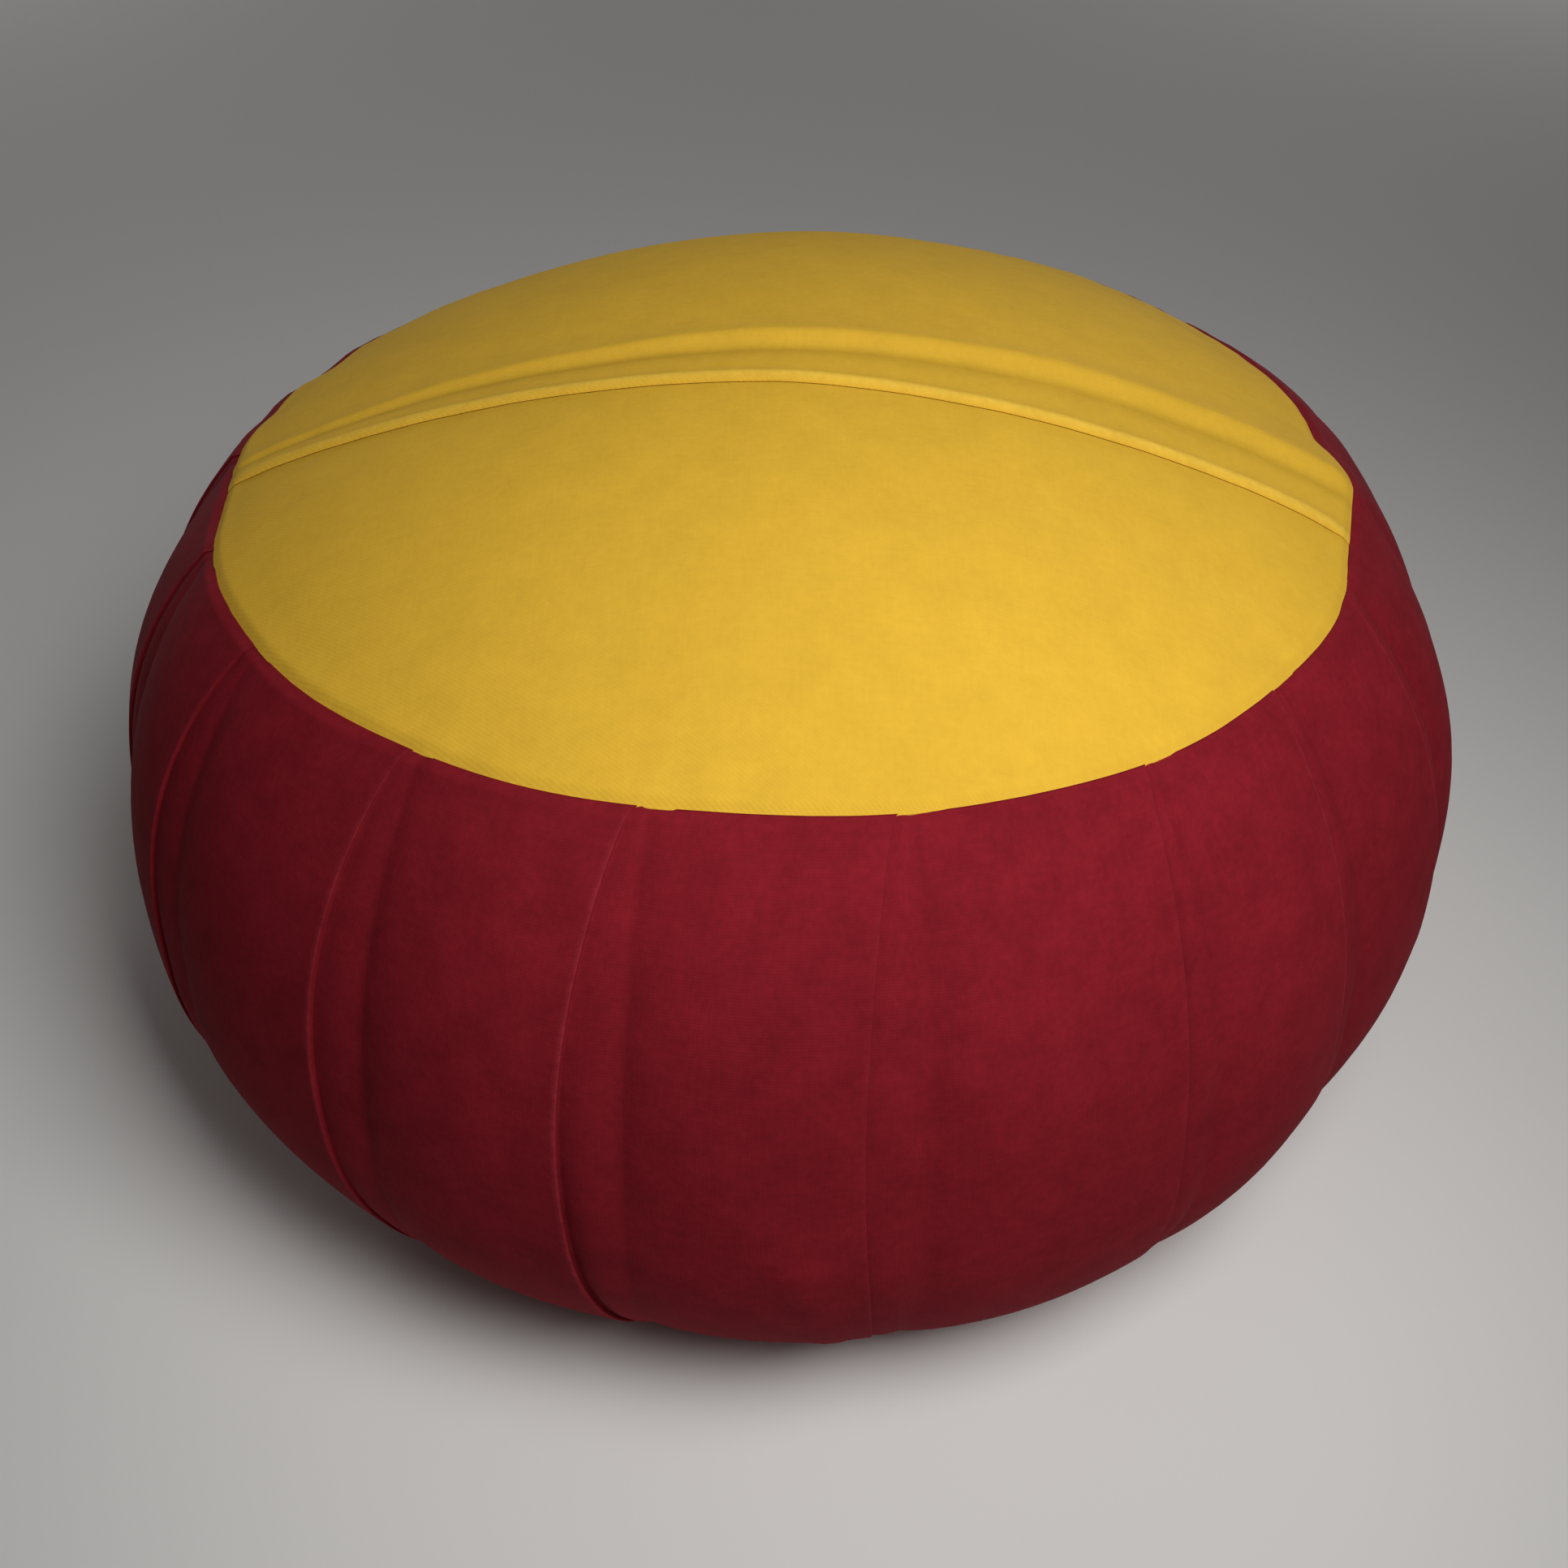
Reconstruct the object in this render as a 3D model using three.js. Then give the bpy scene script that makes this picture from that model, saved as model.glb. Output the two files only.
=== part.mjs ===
// Round meditation cushion: a filled body whose side is a band of knife pleats, two top panels that lap
// over each other across the crown, and a base panel. Millimetres, +Z up, the front towards -Y.
// An azimuth is 0 at the front and grows towards +X.
import * as THREE from 'three';

// Sizes of the filled cushion
const RIM_RADIUS = 145; // the seam round the top panels
const RIM_HEIGHT = 171;
const CROWN_RISE = 37; // of the crown's middle over the rim
const CROWN_CURVE = 2.11;
const FRONT_FULLNESS = 5.4; // the filling sits towards the front of the crown
const WIDEST_RADIUS = 181;
const WIDEST_HEIGHT = 78;
const REST_RADIUS = 118; // of the flat that rests on the floor
const LOWER_CURVE = 1.82;
const UPPER_CURVE = 2.63;
const BASE_SEAM_RADIUS = 140; // the seam round the base panel, just above the floor

// Cloth and the room between sewn pieces
const CLOTH = 2;
const GAP = 0.4;
const LIP = 0.2; // from the band's edge down to what lies under a panel
const EDGE_DIP = 0.9; // how far a panel turns down into its seam
const EDGE_TURN = 3; // over this width

// Slow waves in the filling: how many high points go round, their size, and the azimuth of one
const RIM_HEIGHT_WAVES = [{ count: 2, size: 3.6, at: -14 }];
const WIDEST_WAVES = [
  { count: 1, size: 1.8, at: 148 },
  { count: 2, size: 1.0, at: 5 },
  { count: 3, size: 0.9, at: -5 },
];
const REST_WAVES = [{ count: 1, size: 3.2, at: 90 }];

// The rim is pushed out and up where the ends of the lap are sewn into it
const LAP_ENDS = [
  { at: -93, width: 9, out: 2.2, up: 1.0 },
  { at: 86, width: 9, out: 2.4, up: 1.0 },
];

// Knife pleats of the side band: azimuth of the inner crease, how far the folded edge bows away from it
// in degrees, and how far the edge stands out
const FRONT_PLEATS = [
  { at: -54.5, bow: 4.8, lift: 1.8 },
  { at: -31.2, bow: 4.4, lift: 2.3 },
  { at: -10.8, bow: 4.3, lift: 3.0 },
  { at: 10.2, bow: 4.6, lift: 1.6 },
  { at: 33.0, bow: 3.5, lift: 1.8 },
  { at: 51.0, bow: 3.3, lift: 1.8 },
];
// The rest of the way round they are evenly spaced, with edges that differ a little
const BACK_PLEATS = 12;
const BACK_BOW = { mean: 3.8, spread: 0.7, turn: 2.4 };
const BACK_LIFT = { mean: 2.1, spread: 0.5, turn: 3.3 };

// At the seams a pleat is sewn shut, and it opens most a little under half way up
const CLOSED_BOW = 1;
const CLOSED_DEPTH = 0.25;
const OPEN_LEAN = 1.5;
const OPEN_CURVE = 0.6;
const CREASE_DEPTH = 1.5;
const PUFF = 1.5; // of the cloth between two pleats

// Across one pleat: where each line of points lies, in bows before the crease and in shares of the open
// cloth after it, and what it stands out by, in shares of this edge's lift, the next one's, the crease and
// the puff
const PLEAT_SECTION = [
  { bows: 1, open: 0, lift: 1, next: 0, crease: 0, puff: 0 },
  { bows: 0.78, open: 0, lift: 0, next: 0, crease: 0.4, puff: 0 },
  { bows: 0.42, open: 0, lift: 0.5, next: 0, crease: 0, puff: 0 },
  { bows: 0, open: 0, lift: 0, next: 0, crease: 1, puff: 0 },
  { bows: 0, open: 0.2, lift: 0, next: 0, crease: 0, puff: 0.5 },
  { bows: 0, open: 0.55, lift: 0, next: 0, crease: 0, puff: 1 },
  { bows: 0, open: 0.84, lift: 0, next: 0.3, crease: 0, puff: 0.6 },
];

// The lap: where its folded front edge crosses the crown, and its section behind that edge, as heights
// over the plain crown
const LAP_LEFT_Y = -7;
const LAP_RIGHT_Y = -27;
const LAP_BOW = 7; // towards the front, at the middle
const LAP_SECTION = [
  { behind: 0, outer: 1.7, inner: GAP },
  { behind: 1.5, outer: 3.0, inner: GAP },
  { behind: 5, outer: 2.8, inner: GAP },
  { behind: 12, outer: 2.6, inner: GAP },
  { behind: 17, outer: 1.6, inner: GAP },
  { behind: 21, outer: 2.1, inner: GAP },
  { behind: 27, outer: 2.5, inner: GAP },
  { behind: 33, outer: 1.1, inner: -CLOTH },
  { behind: 42, outer: 0, inner: -CLOTH },
];
const UNDERLAP = 25; // the front panel runs this far under the back one

// How finely the faces are divided
const UNDERSIDE_RADII = [60, REST_RADIUS - 6, REST_RADIUS + 4, REST_RADIUS + 12];
const SIDE_PLACES = [0.34, 0.45, 0.57, 0.7, 0.85, 1, 1.15, 1.3, 1.45, 1.6, 1.72, 1.84, 1.94, 2];
const CROWN_SHARES = [0.82, 0.64, 0.44, 0.22];
const UNDERLAP_SHARES = [1, 2 / 3, 1 / 3];
const PANEL_REACH = RIM_RADIUS - LIP - GAP;
const PANEL_COLUMNS = 28;
const PANEL_ROWS = 12;
const SHORTEST_ROW = 6; // the length of a panel's last row, at the front or the back of the rim
const BASE_COLUMNS = 60;
const NEAR_ENOUGH = 1e-4;

const BURGUNDY = 0x761c27;
const YELLOW = 0xdcaa2e;

const rad = THREE.MathUtils.degToRad;
const lerp = THREE.MathUtils.lerp;
const modulo = THREE.MathUtils.euclideanModulo;

// A point at an azimuth in degrees, a radius and a height
function polar(azimuth, radius, z) {
  return new THREE.Vector3(radius * Math.sin(rad(azimuth)), -radius * Math.cos(rad(azimuth)), z);
}

function azimuthOf(x, y) {
  return THREE.MathUtils.radToDeg(Math.atan2(x, -y));
}

function waves(rows, azimuth) {
  return rows.reduce((sum, row) => sum + row.size * Math.cos(row.count * rad(azimuth - row.at)), 0);
}

// How far the ends of the lap push the rim at an azimuth, outwards or upwards
function lapEnds(azimuth, way) {
  return LAP_ENDS.reduce((sum, end) => {
    const turn = modulo(azimuth - end.at + 180, 360) - 180;
    return sum + end[way] * Math.exp(-((turn / end.width) ** 2));
  }, 0);
}

function rimRadius(azimuth) {
  return RIM_RADIUS + lapEnds(azimuth, 'out');
}

function rimHeight(azimuth) {
  return RIM_HEIGHT + waves(RIM_HEIGHT_WAVES, azimuth) + lapEnds(azimuth, 'up');
}

// Height of the plain crown over a point of the round plan, whose rim is at share 1
function crownHeight(azimuth, share) {
  const rim = (rimHeight(azimuth) - RIM_HEIGHT) * share ** 2;
  const front = FRONT_FULLNESS * Math.cos(rad(azimuth)) * share * (1 - share ** 2);
  return RIM_HEIGHT + rim + CROWN_RISE * (1 - share ** CROWN_CURVE) + front;
}

// The side's section at an azimuth: place 0 is the edge of the flat, 1 the widest line, 2 the rim
function sideSection(azimuth, place) {
  const rest = REST_RADIUS + waves(REST_WAVES, azimuth);
  const widest = WIDEST_RADIUS + waves(WIDEST_WAVES, azimuth);
  if (place <= 1) {
    const turn = (place * Math.PI) / 2;
    const out = Math.sin(turn) ** (2 / LOWER_CURVE);
    const up = 1 - Math.cos(turn) ** (2 / LOWER_CURVE);
    return { radius: lerp(rest, widest, out), z: WIDEST_HEIGHT * up };
  }
  const radius = lerp(widest, rimRadius(azimuth), (place - 1) ** UPPER_CURVE);
  return { radius, z: lerp(WIDEST_HEIGHT, rimHeight(azimuth), place - 1) };
}

// The place on the lower side where it has a given radius
function placeOfRadius(azimuth, radius) {
  const rest = REST_RADIUS + waves(REST_WAVES, azimuth);
  const widest = WIDEST_RADIUS + waves(WIDEST_WAVES, azimuth);
  const out = Math.max(0, (radius - rest) / (widest - rest));
  return (Math.asin(out ** (LOWER_CURVE / 2)) * 2) / Math.PI;
}

// Height of the underside at a radius: flat, then curving up to the base seam
function undersideHeight(azimuth, radius) {
  return sideSection(azimuth, placeOfRadius(azimuth, radius)).z;
}

function uneven({ mean, spread, turn }, i) {
  return mean + spread * Math.sin(turn * i);
}

function allPleats() {
  const last = FRONT_PLEATS[FRONT_PLEATS.length - 1].at;
  const step = (360 + FRONT_PLEATS[0].at - last) / (BACK_PLEATS + 1);
  const back = Array.from({ length: BACK_PLEATS }, (_, i) => ({
    at: last + step * (i + 1),
    bow: uneven(BACK_BOW, i),
    lift: uneven(BACK_LIFT, i),
  }));
  return [...FRONT_PLEATS, ...back];
}

const PLEATS = allPleats();

// The columns of points that shape the pleats, at a share of the band's height: each has its azimuth and
// how far it stands out
function pleatColumns(share) {
  const opened = Math.sin(Math.PI * share ** OPEN_LEAN) ** OPEN_CURVE;
  const depth = lerp(CLOSED_DEPTH, 1, opened);
  return PLEATS.flatMap((pleat, i) => {
    const next = PLEATS[(i + 1) % PLEATS.length];
    const bow = lerp(CLOSED_BOW, pleat.bow, opened);
    const width = modulo(next.at - pleat.at, 360) - lerp(CLOSED_BOW, next.bow, opened);
    return PLEAT_SECTION.map((row) => {
      const edges = row.lift * pleat.lift + row.next * next.lift;
      const out = depth * (edges + row.puff * PUFF - row.crease * CREASE_DEPTH);
      return { azimuth: pleat.at - row.bows * bow + row.open * width, out };
    });
  });
}

function bodyOf(points, faces) {
  const geometry = new THREE.BufferGeometry();
  geometry.setFromPoints(points);
  geometry.setIndex(faces);
  geometry.computeVertexNormals();
  return geometry;
}

// A closed body from rings of points that run from a lower pole to an upper one
function wrapRings(lowPole, rings, highPole) {
  const count = rings[0].length;
  const points = [lowPole, ...rings.flat(), highPole];
  const at = (ring, column) => 1 + ring * count + (column % count);
  const last = rings.length - 1;
  const faces = [];
  for (let column = 0; column < count; column += 1) {
    faces.push(0, at(0, column + 1), at(0, column));
    for (let ring = 0; ring < last; ring += 1) {
      faces.push(at(ring, column), at(ring, column + 1), at(ring + 1, column + 1));
      faces.push(at(ring, column), at(ring + 1, column + 1), at(ring + 1, column));
    }
    faces.push(at(last, column), at(last, column + 1), points.length - 1);
  }
  return bodyOf(points, faces);
}

// A closed sheet from two grids of points, its outer and its inner face, with walls round their edges
function wrapSheet(outer, inner) {
  const rows = outer.length;
  const columns = outer[0].length;
  const points = [...outer.flat(), ...inner.flat()];
  const out = (row, column) => row * columns + column;
  const back = (row, column) => rows * columns + out(row, column);
  const faces = [];
  const quad = (a, b, c, d) => faces.push(a, b, c, a, c, d);
  const [lastRow, lastColumn] = [rows - 1, columns - 1];
  for (let row = 0; row < lastRow; row += 1) {
    for (let column = 0; column < lastColumn; column += 1) {
      quad(out(row, column), out(row, column + 1), out(row + 1, column + 1), out(row + 1, column));
      quad(back(row, column), back(row + 1, column), back(row + 1, column + 1), back(row, column + 1));
    }
    quad(out(row, 0), out(row + 1, 0), back(row + 1, 0), back(row, 0));
    quad(
      back(row, lastColumn),
      back(row + 1, lastColumn),
      out(row + 1, lastColumn),
      out(row, lastColumn),
    );
  }
  for (let column = 0; column < lastColumn; column += 1) {
    quad(back(0, column), back(0, column + 1), out(0, column + 1), out(0, column));
    quad(
      out(lastRow, column),
      out(lastRow, column + 1),
      back(lastRow, column + 1),
      back(lastRow, column),
    );
  }
  return bodyOf(points, faces);
}

// The filled body: a recessed underside, the pleated side and a recessed crown
function pleatedBody() {
  const sunk = CLOTH + GAP;
  const ring = (share, place) => pleatColumns(share).map(place);
  const underside = (radius) => ring(0, ({ azimuth }) => (
    polar(azimuth, radius, undersideHeight(azimuth, radius) + sunk)
  ));
  const baseSeam = ring(0, ({ azimuth }) => (
    polar(azimuth, BASE_SEAM_RADIUS, undersideHeight(azimuth, BASE_SEAM_RADIUS))
  ));
  const side = SIDE_PLACES.map((place) => {
    const share = sideSection(0, place).z / rimHeight(0);
    return ring(Math.min(share, 1), ({ azimuth, out }) => {
      const { radius, z } = sideSection(azimuth, place);
      return polar(azimuth, place < 2 ? radius + out : radius, z);
    });
  });
  const crown = [1, ...CROWN_SHARES].map((share) => ring(1, ({ azimuth }) => (
    polar(azimuth, rimRadius(azimuth) * share - LIP, crownHeight(azimuth, share) - sunk)
  )));
  const bottom = [...UNDERSIDE_RADII, BASE_SEAM_RADIUS - LIP].map(underside);
  const top = new THREE.Vector3(0, 0, crownHeight(0, 0) - sunk);
  return wrapRings(new THREE.Vector3(0, 0, sunk), [...bottom, baseSeam, ...side, ...crown], top);
}

// The base panel: flat where it rests, turned up to its seam
function basePanel() {
  const edge = BASE_SEAM_RADIUS - LIP - GAP;
  const ring = (radius, lift) => Array.from({ length: BASE_COLUMNS }, (_, i) => {
    const azimuth = (i * 360) / BASE_COLUMNS;
    return polar(azimuth, radius, undersideHeight(azimuth, radius) + lift);
  });
  const radii = [...UNDERSIDE_RADII, edge];
  const under = radii.map((radius) => ring(radius, 0));
  const over = radii.map((radius) => ring(radius, CLOTH)).reverse();
  return wrapRings(new THREE.Vector3(0, 0, 0), [...under, ...over], new THREE.Vector3(0, 0, CLOTH));
}

// The lap's folded edge, from left to right across the crown
function lapEdge(x) {
  const across = x / RIM_RADIUS;
  return lerp(LAP_LEFT_Y, LAP_RIGHT_Y, (across + 1) / 2) - LAP_BOW * (1 - across ** 2);
}

// A height from the lap's section, at a distance behind its folded edge
function lapHeight(behind, face) {
  const next = LAP_SECTION.findIndex((row) => row.behind > behind);
  if (next < 0) {
    return LAP_SECTION[LAP_SECTION.length - 1][face];
  }
  const [a, b] = [LAP_SECTION[Math.max(next - 1, 0)], LAP_SECTION[next]];
  return a === b ? a[face] : lerp(a[face], b[face], (behind - a.behind) / (b.behind - a.behind));
}

// A point of a top panel over a place of the plan, at a height over the plain crown
function panelPoint(x, y, lift) {
  const azimuth = azimuthOf(x, y);
  const share = Math.hypot(x, y) / RIM_RADIUS;
  const stretch = rimRadius(azimuth) / RIM_RADIUS;
  return new THREE.Vector3(x * stretch, y * stretch, crownHeight(azimuth, share) + lift);
}

// How far a panel's outer face has turned down into the seam round it
function seamDip(x, y) {
  const inside = RIM_RADIUS - Math.hypot(x, y);
  return EDGE_DIP * (1 - THREE.MathUtils.smoothstep(inside, 0, EDGE_TURN));
}

// Where a row across a panel meets its seam, at the left and at the right
function rowEnds(row) {
  const outside = (x) => Math.hypot(x, row(x)) > PANEL_REACH;
  return [-RIM_RADIUS, RIM_RADIUS].map((start) => {
    let [inner, outer] = [0, start];
    while (Math.abs(outer - inner) > NEAR_ENOUGH) {
      const middle = (inner + outer) / 2;
      [inner, outer] = outside(middle) ? [inner, middle] : [middle, outer];
    }
    return inner;
  });
}

// The plan of a panel: points along each of its rows, closest together next to the seam
function panelPlan(rows) {
  return rows.map((row) => {
    const [left, right] = rowEnds(row);
    return Array.from({ length: PANEL_COLUMNS + 1 }, (_, i) => {
      const x = lerp(left, right, (1 - Math.cos((Math.PI * i) / PANEL_COLUMNS)) / 2);
      return [x, row(x)];
    });
  });
}

// Rows from a first one to a short last one at the far side of the round panel, at its front or back. The
// last is a chord of the rim, and its rise under the arc is the square of its length over eight radii.
function rowsTowards(side, first) {
  const far = side * (PANEL_REACH - SHORTEST_ROW ** 2 / (8 * PANEL_REACH));
  return Array.from({ length: PANEL_ROWS }, (_, i) => {
    const share = Math.sin((Math.PI * (i + 1)) / (2 * PANEL_ROWS));
    return (x) => lerp(first(x), far, share);
  });
}

// A closed sheet over a plan, with an outer and an inner height at each of its points
function panelSheet(rows, outerHeight, innerHeight) {
  const plan = panelPlan(rows);
  const grid = (height) => plan.map((row) => row.map(([x, y]) => panelPoint(x, y, height(x, y))));
  return wrapSheet(grid(outerHeight), grid(innerHeight));
}

function frontPanel() {
  const hidden = UNDERLAP_SHARES.map((share) => (x) => lapEdge(x) + share * UNDERLAP);
  const rows = [...hidden, lapEdge, ...rowsTowards(-1, lapEdge)].reverse();
  return panelSheet(rows, (x, y) => -seamDip(x, y), () => -CLOTH);
}

function backPanel() {
  const lap = LAP_SECTION.map(({ behind }) => (x) => lapEdge(x) + behind);
  const rows = [...lap, ...rowsTowards(1, lap[lap.length - 1])];
  return panelSheet(
    rows,
    (x, y) => lapHeight(y - lapEdge(x), 'outer') - seamDip(x, y),
    (x, y) => lapHeight(y - lapEdge(x), 'inner'),
  );
}

// A named mesh in matt cotton
function sewn(name, geometry, color) {
  const cotton = new THREE.MeshStandardMaterial({ color, roughness: 0.9, metalness: 0 });
  const mesh = new THREE.Mesh(geometry, cotton);
  mesh.name = name;
  return mesh;
}

// Puts the middle of the whole cushion's footprint on the origin
function centred(group) {
  const middle = new THREE.Box3().setFromObject(group, true).getCenter(new THREE.Vector3());
  group.children.forEach((mesh) => mesh.position.set(-middle.x, -middle.y, 0));
  return group;
}

const cushion = new THREE.Group();
cushion.add(sewn('pleated_body', pleatedBody(), BURGUNDY));
cushion.add(sewn('base_panel', basePanel(), BURGUNDY));
cushion.add(sewn('top_front_panel', frontPanel(), YELLOW));
cushion.add(sewn('top_back_panel', backPanel(), YELLOW));

export default centred(cushion);
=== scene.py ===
"""Round meditation cushion: a filled body with a knife-pleated burgundy side band, a yellow top of two
panels that lap across the crown, and a base panel. Run inside Blender 4.5. Shapes are worked out in
millimetres from the middle of the cushion, +Z up and the front towards -Y, and written in metres."""
import math

import bpy
import numpy as np
from bpy.props import FloatProperty, FloatVectorProperty, PointerProperty
from mathutils import Matrix, Vector, kdtree


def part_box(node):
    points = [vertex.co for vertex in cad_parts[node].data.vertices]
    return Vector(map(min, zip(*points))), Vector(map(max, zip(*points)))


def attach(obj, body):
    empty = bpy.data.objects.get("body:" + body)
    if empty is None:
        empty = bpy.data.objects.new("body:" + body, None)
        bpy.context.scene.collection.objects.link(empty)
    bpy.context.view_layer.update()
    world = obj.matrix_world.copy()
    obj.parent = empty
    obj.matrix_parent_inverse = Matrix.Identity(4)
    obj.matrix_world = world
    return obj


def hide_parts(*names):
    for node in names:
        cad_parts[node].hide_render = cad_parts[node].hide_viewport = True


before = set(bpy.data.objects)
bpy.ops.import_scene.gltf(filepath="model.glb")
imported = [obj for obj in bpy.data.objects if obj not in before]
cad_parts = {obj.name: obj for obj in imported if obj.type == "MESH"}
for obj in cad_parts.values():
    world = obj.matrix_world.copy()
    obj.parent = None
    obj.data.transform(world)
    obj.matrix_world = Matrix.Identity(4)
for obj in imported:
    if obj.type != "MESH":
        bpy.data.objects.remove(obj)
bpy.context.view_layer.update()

bl_info = {
    "name": "Meditation cushion",
    "version": (1, 0, 0),
    "blender": (4, 5, 0),
    "location": "View3D > Sidebar > Cushion",
    "description": "Sews a round meditation cushion with a pleated side band and a lapped top",
    "category": "Add Mesh",
}

# The cushion's middle, from the round base panel of the frame, in millimetres
LOW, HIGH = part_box("base_panel")
MIDDLE = np.array([(LOW.x + HIGH.x) / 2, (LOW.y + HIGH.y) / 2, 0.0]) * 1000

# Slow waves in the filling: high points round the cushion, size in millimetres, azimuth of one in degrees
RIM_WAVES = ((2, 1.5, -40), (7, 0.35, 25), (13, 0.3, 8))
RIM_HEIGHT_WAVES = ((2, 3.6, -14),)
WIDEST_WAVES = ((1, 1.8, 148), (2, 1.0, 5), (3, 0.9, -5))
REST_WAVES = ((1, 3.2, 90),)

# The rim bulges at the ends of the lap and is drawn in beside them: azimuth, width in degrees, and the push
# outwards and upwards
RIM_LOBES = (
    (-98, 7, 1.8, 0.8), (-82, 9, -1.2, 0.0), (-103, 2.5, -0.5, -0.1), (-109, 5, 2.2, 0.4),
    (-114, 3, -0.5, 0.0), (-120, 4, 1.2, 0.2), (77, 7, -1.1, 0.0), (91.5, 5, 2.2, 0.7),
    (100, 3, -1.0, -0.1), (109, 9, 2.0, 0.3),
)
# The side is drawn in here and there at its widest line, below it and above it: azimuth, width in degrees,
# and the push outwards
WIDEST_LOBES = ((54, 13, -3.2), (-56, 8, 1.1), (-72, 9, -1.4))
LOWER_LOBES = ((56, 23, -1.8), (-52, 20, -1.6), (-9, 17, -1.8))
UPPER_LOBES = ((93, 13, -2.9), (118, 16, 6.0), (-103, 16, -2.3))

# Curves of the filled shape
CROWN_CURVE = 2.11
FRONT_FULLNESS = 5.4
LOWER_CURVE = 1.82
UPPER_CURVE = 2.63

# Knife pleats: azimuth of the inner crease, bow of the folded edge away from it in degrees, how far the
# edge stands out, how far the gap under it is open at the top and lower down, and how much wear and painted
# highlight the edge has
FRONT_PLEATS = (
    (-54.5, 4.8, 1.0, 0.1, 0.3, 0.4),
    (-31.2, 4.4, 1.2, 0.0, 0.2, 0.55),
    (-10.8, 4.3, 1.5, 0.1, 1.0, 0.6),
    (10.2, 4.6, 0.7, 0.3, 0.2, 0.1),
    (33.0, 3.5, 0.9, 0.9, 0.4, 0.1),
    (51.0, 3.3, 0.8, 0.1, 0.2, 0.45),
)
# Pleats round the back: how many, and for each value from bow to wear and painted highlight its mean, its
# spread, and how fast it goes up and down from pleat to pleat
BACK_PLEATS = 12
BACK_VALUES = ((3.8, 0.7, 2.4), (1.2, 0.3, 3.3), (0.25, 0.2, 1.9), (0.45, 0.35, 2.9), (0.5, 0.3, 4.1))
# The bow and the share of depth that pleats close to at the seams, and how they open in between
CLOSED_BOW = 1.0
CLOSED_DEPTH = 0.25
OPEN_LEAN = 1.5
OPEN_CURVE = 0.6
# Where the strip of wear and painted highlight lies on a folded edge, as a share of the lift, and its width
HIGHLIT_RUB_AT = 0.98
HIGHLIT_RUB_WIDTH = 0.06

# Across one pleat, from its crease to the next one: shares of the open cloth and of the strip inside the
# pleat, millimetres from the folded edge, share of the reach under the edge, and shares of the lift, puff,
# crease and gap
FOLD_COLUMNS = ("main", "strip", "edge", "under", "lift", "puff", "crease", "gap")
FOLD_LINES = (
    (0.000, 0.00, 0.00, 0.0, 0.00, 0.00, 1.00, 0.0),
    (0.018, 0.00, 0.00, 0.0, 0.00, 0.04, 0.86, 0.0),
    (0.042, 0.00, 0.00, 0.0, 0.00, 0.12, 0.56, 0.0),
    (0.080, 0.00, 0.00, 0.0, 0.00, 0.26, 0.25, 0.0),
    (0.140, 0.00, 0.00, 0.0, 0.00, 0.42, 0.07, 0.0),
    (0.210, 0.00, 0.00, 0.0, 0.00, 0.58, 0.00, 0.0),
    (0.290, 0.00, 0.00, 0.0, 0.00, 0.73, 0.00, 0.0),
    (0.370, 0.00, 0.00, 0.0, 0.00, 0.86, 0.00, 0.0),
    (0.460, 0.00, 0.00, 0.0, 0.00, 0.96, 0.00, 0.0),
    (0.550, 0.00, 0.00, 0.0, 0.00, 1.00, 0.00, 0.0),
    (0.640, 0.00, 0.00, 0.0, 0.02, 0.95, 0.00, 0.0),
    (0.720, 0.00, 0.00, 0.0, 0.06, 0.84, 0.00, 0.0),
    (0.790, 0.00, 0.00, 0.0, 0.14, 0.70, 0.00, 0.0),
    (0.850, 0.00, 0.00, 0.0, 0.27, 0.55, 0.00, 0.0),
    (0.900, 0.00, 0.00, 0.0, 0.43, 0.40, 0.00, 0.0),
    (0.940, 0.00, 0.00, 0.0, 0.62, 0.26, 0.00, 0.0),
    (0.970, 0.00, 0.00, 0.0, 0.80, 0.14, 0.00, 0.0),
    (1.000, 0.00, -0.60, 0.0, 0.94, 0.05, 0.00, 0.0),
    (1.000, 0.00, -0.20, 0.0, 1.00, 0.00, 0.00, 0.0),
    (1.000, 0.00, 0.05, 0.0, 0.86, 0.00, 0.00, 0.0),
    (1.000, 0.00, 0.12, 0.1, 0.60, 0.00, 0.00, 0.1),
    (1.000, 0.00, 0.10, 0.4, 0.36, 0.00, 0.00, 0.4),
    (1.000, 0.00, 0.08, 1.0, 0.18, 0.00, 0.00, 1.0),
    (1.000, 0.02, 0.15, 0.0, 0.10, 0.00, 0.00, 1.0),
    (1.000, 0.22, 0.00, 0.0, 0.20, 0.00, 0.00, 0.2),
    (1.000, 0.46, 0.00, 0.0, 0.26, 0.00, 0.06, 0.0),
    (1.000, 0.70, 0.00, 0.0, 0.20, 0.00, 0.34, 0.0),
    (1.000, 0.88, 0.00, 0.0, 0.08, 0.00, 0.78, 0.0),
)

# Soft creases of the side: from and to, each an azimuth and a height, then width and size
SOFT_CREASES = (
    ((-3.7, 96.0), (1.0, 76.0), 5.0, 0.8),
    ((1.0, 76.0), (4.0, 36.0), 5.0, 0.9),
    ((148.0, 110.0), (156.0, 70.0), 7.0, 0.7),
    ((-128.0, 84.0), (-121.0, 48.0), 6.0, 0.8),
    ((84.0, 92.0), (90.0, 58.0), 6.0, 0.6),
)

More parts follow.
